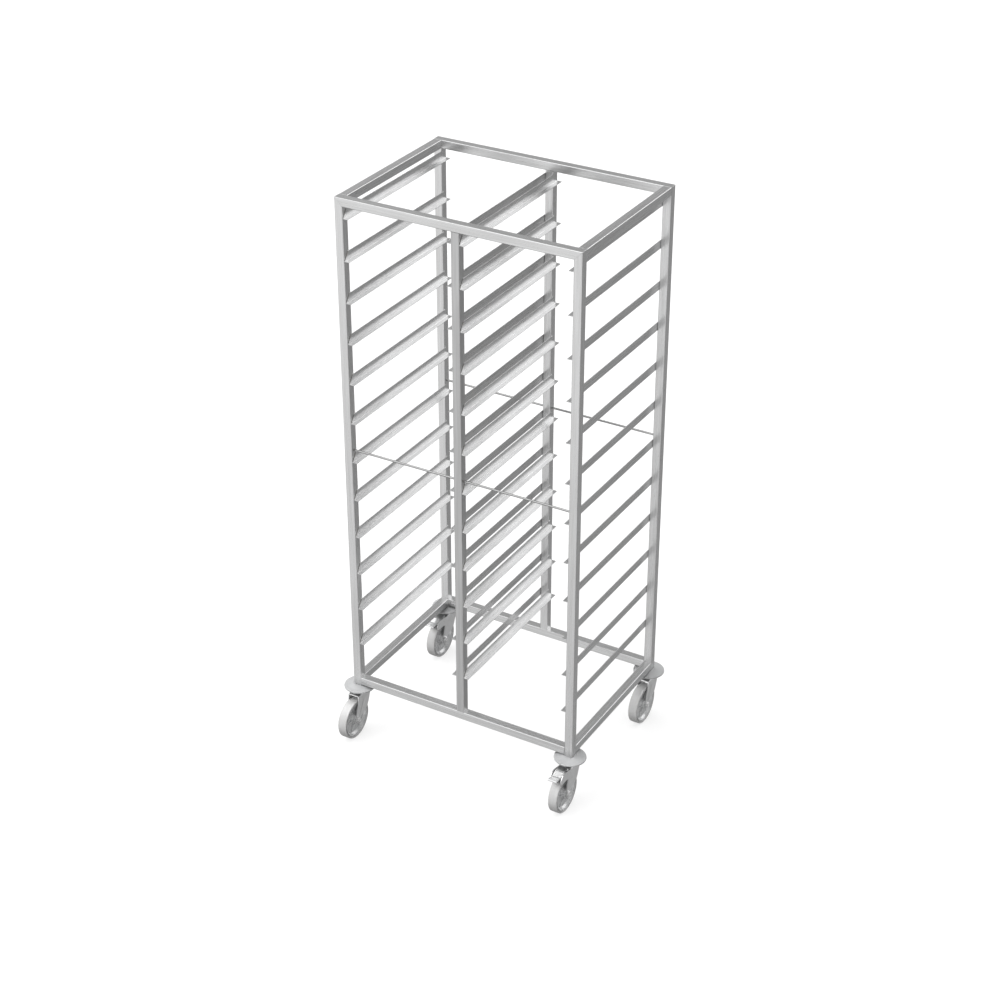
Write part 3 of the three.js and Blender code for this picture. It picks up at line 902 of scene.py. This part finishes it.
def build_axle(prefix, origin):
    """The axle bolt with its head and washer on the right, and the lock nut on the left."""
    axle = (origin[0], origin[1] - TRAIL, origin[2] - AXLE_DROP)
    face = FORK_HALF + JOINT_GAP
    shank = lathe(
        f"{prefix}_bolt_shank",
        fillet([(0, -face - 6), (4.8, -face - 6, 0.8), (4.8, face, 0.0), (0, face)], False),
        "x",
        axle,
        32,
        FASTENER,
    )
    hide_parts(f"{prefix}_axle_bolt")
    dished = [
        (0, face),
        (9.4, face, 0.2),
        (9.4, face + 1.6, 0.6),
        (7.6, face + 1.9, 0.4),
        (7.2, face + 5.2, 1.2),
        (4.2, face + 5.4, 0.6),
        (3.4, face + 3.2, 0.4),
        (0, face + 3.2),
    ]
    head = lathe(f"{prefix}_bolt_head", fillet(dished, False), "x", axle, 48, FASTENER)
    nut = plate(f"{prefix}_nut_body", hexagon(7.9), "x", -face - 4.2, -face, FASTENER, axle, 0.5)
    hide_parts(f"{prefix}_axle_nut")
    lock = [
        (5.0, -face - 5.0, 0.6),
        (6.6, -face - 5.0, 0.8),
        (6.6, -face - 4.2),
        (5.0, -face - 4.2),
    ]
    collar = lathe(f"{prefix}_nut_collar", fillet(lock), "x", axle, 40, SEAL)
    return [shank, head, nut, collar]


def build_wheel(prefix, origin):
    """Tyre, dished rim with its ribs and hub, and the bearing with its seals."""
    axle = (origin[0], origin[1] - TRAIL, origin[2] - AXLE_DROP)
    half = TYRE_HALF
    band = [
        (TYRE_SEAT + 0.2, half - 3.4, 0.3),
        (WHEEL_RADIUS - 4.4, half - 2.6, 0.8),
        (WHEEL_RADIUS - 3.4, half, 0.8),
        (WHEEL_RADIUS - 0.5, half - 1.2, 2.0),
        (WHEEL_RADIUS, 0.0, 60.0),
    ]
    mirrored = [(p[0], -p[1], p[2]) for p in reversed(band[:-1])]
    tyre = lathe(f"{prefix}_tread", fillet(band + mirrored, True, 6), "x", axle, 96, TYRE, sharp=50)
    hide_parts(f"{prefix}_tyre")

    boss = FORK_HALF - FORK_SHEET - JOINT_GAP - 0.3
    lip = TYRE_SEAT - 3.5
    right = [
        (9.2, boss, 0.3),
        (14.6, boss, 0.8),
        (15.8, 6.5, 2.5),
        (21.0, 4.2, 3.0),
        (lip - 6.0, 4.2, 4.0),
        (lip - 0.6, half - 4.0, 2.0),
        (lip + 0.4, half - 1.0, 0.6),
        (TYRE_SEAT - 0.2, half - 1.0, 0.5),
    ]
    left = [(r, -x, q) for r, x, q in reversed(right)]
    rim = lathe(f"{prefix}_rim", fillet(right + left, True, 4), "x", axle, 96, RIM, sharp=40)
    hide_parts(f"{prefix}_wheel_rim")
    pieces = [tyre, rim]
    for index in range(RIM_RIBS):
        turn = 2 * math.pi * index / RIM_RIBS
        pieces.append(build_rim_rib(f"{prefix}_rim_rib_{index + 1}", axle, turn))

    bearing = fillet(
        [(5.3, 15.6), (8.6, 15.6, 0.4), (8.6, -15.6, 0.4), (5.3, -15.6)], True, 3
    )
    bush = lathe(f"{prefix}_bush", bearing, "x", axle, 40, FASTENER)
    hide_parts(f"{prefix}_wheel_bush")
    pieces.append(bush)
    for label, side in (("right", 1), ("left", -1)):
        seal = [(8.7, side * 15.2), (11.6, side * 15.2), (11.8, side * 14.6), (8.7, side * 14.6)]
        pieces.append(lathe(f"{prefix}_seal_{label}", seal, "x", axle, 40, SEAL))
    return pieces


def build_rim_rib(name, axle, angle):
    """A thin rib across the dish on both sides of the rim's web, from the hub to the seat."""
    reach = TYRE_SEAT - 5.0
    outline = fillet(
        [
            (14.0, -12.0, 1.0),
            (28.0, -6.5, 6.0),
            (reach, -6.0, 1.0),
            (reach, 6.0, 1.0),
            (28.0, 6.5, 6.0),
            (14.0, 12.0, 1.0),
        ],
        True,
        4,
    )
    thickness = 1.1
    spin = Matrix.Rotation(angle, 3, "X")
    points = []
    for offset in (-thickness, thickness):
        points += [tuple(spin @ Vector((along, radius, offset))) for radius, along in outline]
    return make_piece(name, points, prism_faces(len(outline)), RIM, axle, bevel=0.4)


def build_pedal(prefix, origin):
    """The brake pedal: a bent tread plate with grip ridges, two ears on the pin, and the shoe."""
    top = fillet(
        [
            (-36.0, -19.0),
            (-64.0, -19.0, 2.5),
            (-82.0, -26.0, 3.0),
            (-PEDAL_REACH + 0.3, -22.0, 1.6),
            (-PEDAL_REACH + 0.3, -28.0),
        ],
        False,
        6,
    )
    outer, inner = thicken(top, PEDAL_SHEET)
    tread = wall(
        f"{prefix}_pedal_plate",
        outer,
        inner,
        False,
        "x",
        -PEDAL_HALF,
        PEDAL_HALF,
        ZINC,
        origin,
        bevel=0.5,
    )
    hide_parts(f"{prefix}_brake_pedal")
    pieces = [tread]
    ear = fillet(
        [
            (-42.0, -21.4, 1.0),
            (-64.0, -21.4, 3.0),
            (-81.0, -28.4, 2.0),
            (-80.0, -34.0, 3.0),
            (-57.0, -38.5, 5.0),
            (-44.0, -38.5, 5.0),
            (-42.0, -30.0, 5.0),
        ]
    )
    for label, side in (("right", 1), ("left", -1)):
        low, high = sorted((side * (PEDAL_HALF - PEDAL_SHEET), side * (PEDAL_HALF - 0.05)))
        pieces.append(plate(f"{prefix}_pedal_ear_{label}", ear, "x", low, high, ZINC, origin))
    corners = [(-62.0, -30.0, 1.5), (-82.0, -33.0, 2.0), (-80.0, -41.6, 3.0), (-64.0, -37.8, 3.0)]
    half = PEDAL_HALF - 1.5
    name = f"{prefix}_brake_shoe"
    pieces.append(plate(name, fillet(corners), "x", -half, half, SEAL, origin, 0.8))
    bend_y, bend_z, slope = -82.0, -25.9, 0.16
    for index in range(GRIP_BARS):
        y = GRIP_START - index * GRIP_PITCH
        z = bend_z + (bend_y - y) * slope
        base, crest = z - 0.6, z + 0.5
        bar = [(y - 0.9, base), (y - 0.6, crest, 0.4), (y + 0.6, crest, 0.4), (y + 0.9, base)]
        ridge = fillet(bar)
        low, high = 3.0 - PEDAL_HALF, PEDAL_HALF - 3.0
        pieces.append(plate(f"{prefix}_grip_{index + 1}", ridge, "x", low, high, ZINC, origin, 0.2))
    return pieces


def build_brake_pin(prefix, origin):
    end = FORK_HALF + 0.9
    profile = fillet([(0, -end), (3.0, -end, 0.6), (3.0, end, 0.6), (0, end)], False)
    centre = (origin[0], origin[1] + PIN_Y, origin[2] - PIN_DROP)
    pin = lathe(f"{prefix}_pin", profile, "x", centre, 28, FASTENER)
    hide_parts(f"{prefix}_brake_pin")
    return [pin]


def build_casters():
    """The four casters, each piece riding on the body it moves with."""
    for prefix, x, y, braked in CASTERS:
        origin = (x, y, 0)
        groups = [
            ("frame", build_fixed_head(prefix, origin)),
            (f"{prefix}_caster", build_fork(prefix, origin, braked)),
            (f"{prefix}_caster", build_axle(prefix, origin)),
            (f"{prefix}_wheel", build_wheel(prefix, origin)),
        ]
        if braked:
            groups.append((f"{prefix}_caster", build_brake_pin(prefix, origin)))
            groups.append((f"{prefix}_brake", build_pedal(prefix, origin)))
        for body, pieces in groups:
            for piece in pieces:
                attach(piece, body)


# ---------------------------------------------------------------- camera, light and floor

# The view: from the right, the front and above, through a long lens. Its distances are given
# in frame widths of VIEW_UNIT mm.
VIEW_UNIT = 745
CAMERA_AZIMUTH = 30.0
CAMERA_ELEVATION = 30.0
CAMERA_DISTANCE = 8.082 * VIEW_UNIT
CAMERA_TARGET = (0.50794 * VIEW_UNIT, 0.3 * VIEW_UNIT, 0.85289 * VIEW_UNIT)
CAMERA_LENS = 75.64


def direction(azimuth, elevation):
    """A unit vector; azimuth 0 is the front, 90 the right side, and elevation is up from level."""
    azimuth, elevation = math.radians(azimuth), math.radians(elevation)
    return Vector(
        (
            math.sin(azimuth) * math.cos(elevation),
            -math.cos(azimuth) * math.cos(elevation),
            math.sin(elevation),
        )
    )


def build_camera():
    away = direction(CAMERA_AZIMUTH, CAMERA_ELEVATION)
    data = bpy.data.cameras.new("camera")
    data.lens = CAMERA_LENS
    data.sensor_width = 36
    data.clip_end = 100
    camera = bpy.data.objects.new("camera", data)
    camera.location = place(*CAMERA_TARGET) + away * CAMERA_DISTANCE * MM
    camera.rotation_euler = (-away).to_track_quat("-Z", "Y").to_euler()
    bpy.context.scene.collection.objects.link(camera)
    bpy.context.scene.camera = camera


# The studio around the rack: a base level, and soft panels of light, each with its azimuth and
# elevation in degrees, the half angles where it is full and where it has faded out, and its level.
STUDIO_LEVEL = 0.5
STUDIO_PANELS = [
    ("front", -30, -5, 12, 45, 0.72),
    ("front_right_low", 45, -28, 8, 28, 0.9),
    ("front_high", -38, 43, 9, 24, 1.4),
    ("rear_right", 149, 28, 12, 28, 2.1),
    ("overhead", -60, 75, 18, 38, 1.5),
    ("right_shade", 135, -12, 18, 36, -0.14),
    ("rib_shade", 98, -30, 6, 24, -0.22),
    ("floor_shade", 0, -90, 22, 52, -0.36),
    ("right_side", 85, 15, 12, 40, 0.4),
    ("left_side", -105, 5, 15, 50, 0.5),
]


def flatten_shading():
    """Keeps broad faces flat beside their small rounded edges, by weighing normals by area."""
    for obj in bpy.context.scene.objects:
        if obj.type == "MESH":
            even = obj.modifiers.new("even_normals", "WEIGHTED_NORMAL")
            even.keep_sharp = True


def build_world():
    """Soft light from all round: the base level plus each panel, faded out at its edge."""
    world = bpy.data.worlds.new("studio")
    world.use_nodes = True
    bpy.context.scene.world = world
    tree = world.node_tree
    background = tree.nodes["Background"]
    background.inputs["Color"].default_value = (1.0, 1.0, 1.0, 1.0)
    where = tree.nodes.new("ShaderNodeTexCoord")
    total = None
    for name, azimuth, elevation, full, faded, level in STUDIO_PANELS:
        dot = tree.nodes.new("ShaderNodeVectorMath")
        dot.operation = "DOT_PRODUCT"
        dot.label = name
        dot.inputs[1].default_value = direction(azimuth, elevation)
        tree.links.new(where.outputs["Generated"], dot.inputs[0])
        shape = tree.nodes.new("ShaderNodeMapRange")
        shape.interpolation_type = "SMOOTHSTEP"
        shape.inputs["From Min"].default_value = math.cos(math.radians(faded))
        shape.inputs["From Max"].default_value = math.cos(math.radians(full))
        shape.inputs["To Max"].default_value = level
        tree.links.new(dot.outputs["Value"], shape.inputs["Value"])
        add = tree.nodes.new("ShaderNodeMath")
        add.operation = "ADD"
        tree.links.new(shape.outputs["Result"], add.inputs[0])
        if total is None:
            add.inputs[1].default_value = STUDIO_LEVEL
        else:
            tree.links.new(total.outputs["Value"], add.inputs[1])
        total = add
    tree.links.new(total.outputs["Value"], background.inputs["Strength"])


def build_top_light():
    """A wide, soft light from nearly overhead, kept out of the steel's reflections."""
    data = bpy.data.lights.new("top_light", "SUN")
    data.energy = 4.0
    data.angle = math.radians(90)
    light = bpy.data.objects.new("top_light", data)
    light.rotation_euler = (math.radians(20), math.radians(-20), 0)
    light.visible_glossy = False
    bpy.context.scene.collection.objects.link(light)


def build_floor():
    """A plain pale floor that curves up into a wall all round, seen only by the camera."""
    reach, curve, wall_top = 30.0, 6.0, 24.0
    sides, steps = 64, 8
    flat = reach - curve
    profile = [(flat, 0.0)]
    for step in range(1, steps + 1):
        angle = math.pi / 2 * step / steps
        profile.append((flat + curve * math.sin(angle), curve - curve * math.cos(angle)))
    profile.append((reach, wall_top))
    points = []
    for radius, height in profile:
        for side in range(sides):
            angle = 2 * math.pi * side / sides
            points.append((radius * math.cos(angle), radius * math.sin(angle), height))
    faces = [tuple(range(sides))]
    for ring in range(len(profile) - 1):
        for side in range(sides):
            here, nearby = ring * sides + side, ring * sides + (side + 1) % sides
            faces.append((here, here + sides, nearby + sides, nearby))
    mesh = bpy.data.meshes.new("floor")
    mesh.from_pydata(points, [], faces)
    mesh.shade_smooth()
    floor = bpy.data.objects.new("floor", mesh)
    bpy.context.scene.collection.objects.link(floor)
    floor.visible_glossy = False
    floor.visible_diffuse = False
    floor.visible_shadow = False
    nodes = Nodes("pale_floor")
    nodes.set(Base_Color=(0.2, 0.2, 0.2, 1.0), Roughness=1.0)
    nodes.set(Emission_Color=(1.0, 1.0, 1.0, 1.0), Emission_Strength=0.72)
    mesh.materials.append(nodes.material)


def build_studio():
    bpy.context.scene.view_settings.view_transform = "Standard"
    build_world()
    build_top_light()
    build_floor()


build_camera()
build_frame()
build_casters()
flatten_shading()
build_studio()
